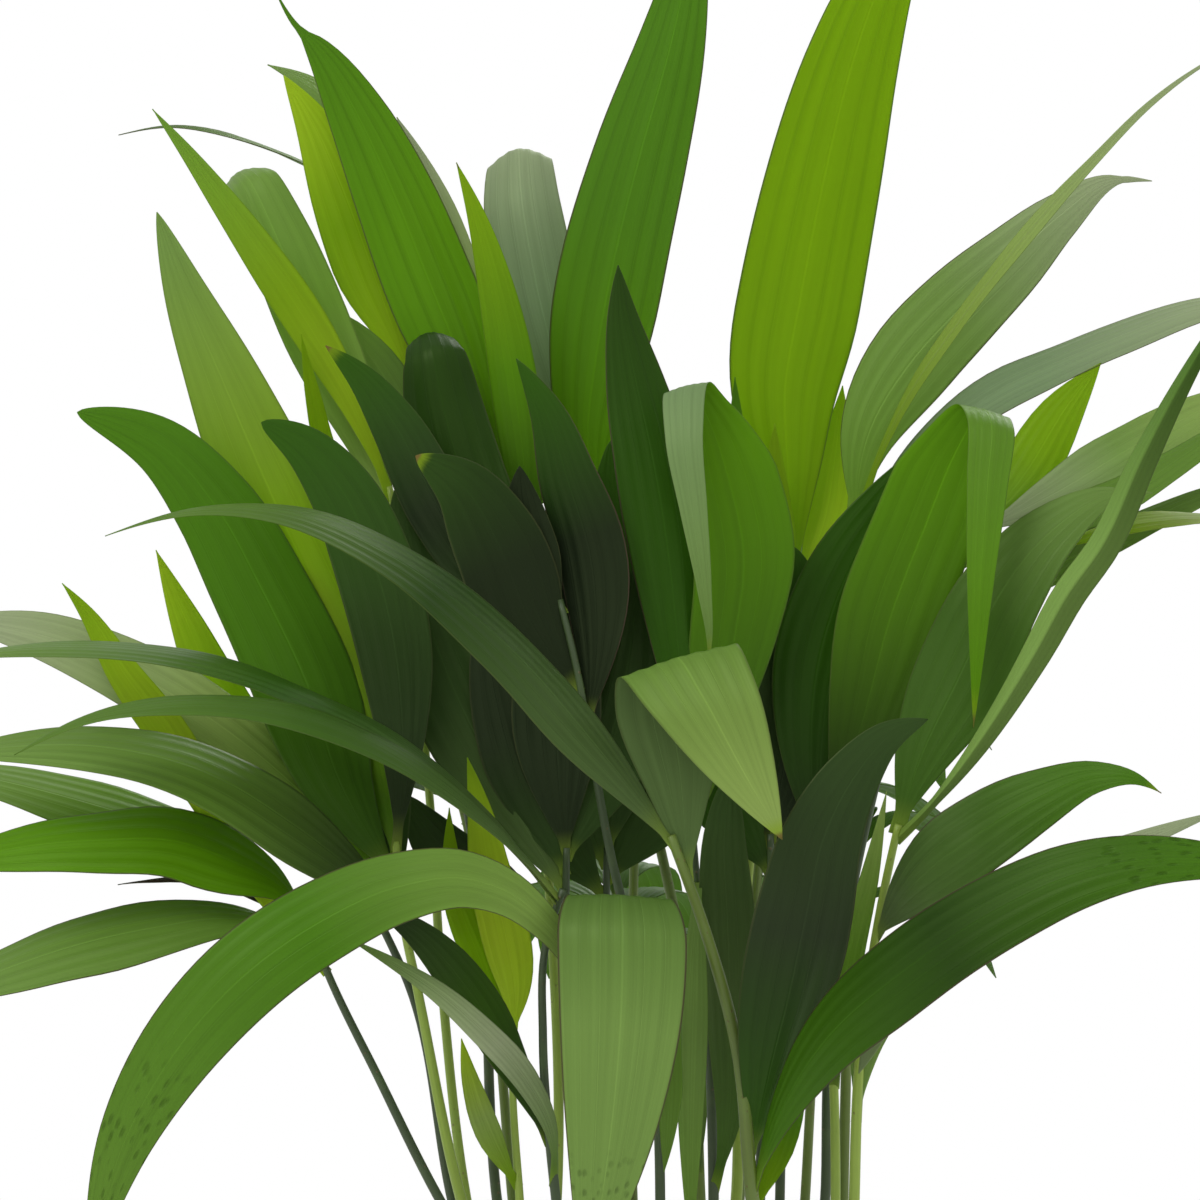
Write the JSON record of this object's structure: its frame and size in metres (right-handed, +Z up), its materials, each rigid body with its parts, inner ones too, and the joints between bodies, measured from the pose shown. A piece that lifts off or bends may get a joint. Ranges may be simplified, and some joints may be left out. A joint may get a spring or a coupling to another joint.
{
  "type": "potted areca palm",
  "caption": "Young areca palm with arching fronds of broad pointed leaflets on thin stalks, growing from a round nursery pot of soil; stands on its flat base as an indoor plant.",
  "frame": {"origin": "centre of the pot's underside", "axes": "+Z up through the plant, -Y towards the side it is seen from, +X to that viewer's right"},
  "size_m": [0.4201, 0.3341, 0.6351],
  "materials": {
    "pot_plastic": "matte",
    "potting_soil": "matte",
    "cane_skin": "satin",
    "leaf_deep": "satin",
    "leaf_dark": "satin",
    "leaf_fresh": "satin",
    "leaf_bright": "satin",
    "leaf_lime": "satin",
    "leaf_grey": "satin"
  },
  "bodies": {
    "root": {"pot": "pot_plastic", "soil": "potting_soil", "cane_01": "cane_skin", "cane_02": "cane_skin", "cane_03": "cane_skin", "cane_04": "cane_skin", "cane_05": "cane_skin", "cane_06": "cane_skin", "cane_07": "cane_skin", "cane_08": "cane_skin", "cane_09": "cane_skin", "cane_10": "cane_skin", "cane_11": "cane_skin", "cane_12": "cane_skin", "frond_front_main": "leaf_deep", "frond_front_left": "leaf_fresh", "frond_front_broad": "leaf_fresh", "frond_low_left": "leaf_fresh", "frond_left_high": "leaf_deep", "frond_left_lime": "leaf_lime", "frond_upper_left": "leaf_lime", "frond_top_left": "leaf_lime", "frond_top_centre_left": "leaf_bright", "frond_top_centre": "leaf_bright", "frond_centre_folded": "leaf_deep", "frond_dark_centre": "leaf_dark", "frond_top_right": "leaf_lime", "frond_upper_right": "leaf_grey", "frond_right_folded": "leaf_bright", "frond_right_fan": "leaf_grey", "frond_right_far": "leaf_grey", "frond_low_lime": "leaf_lime", "frond_dark_left": "leaf_dark", "frond_dark_mid": "leaf_dark", "frond_dark_right": "leaf_dark", "frond_dark_far": "leaf_dark", "frond_back_01": "leaf_deep", "frond_back_02": "leaf_deep", "frond_back_03": "leaf_deep", "frond_back_04": "leaf_deep", "frond_back_05": "leaf_deep", "frond_back_06": "leaf_deep", "frond_back_07": "leaf_deep"}
  },
  "joints": []
}
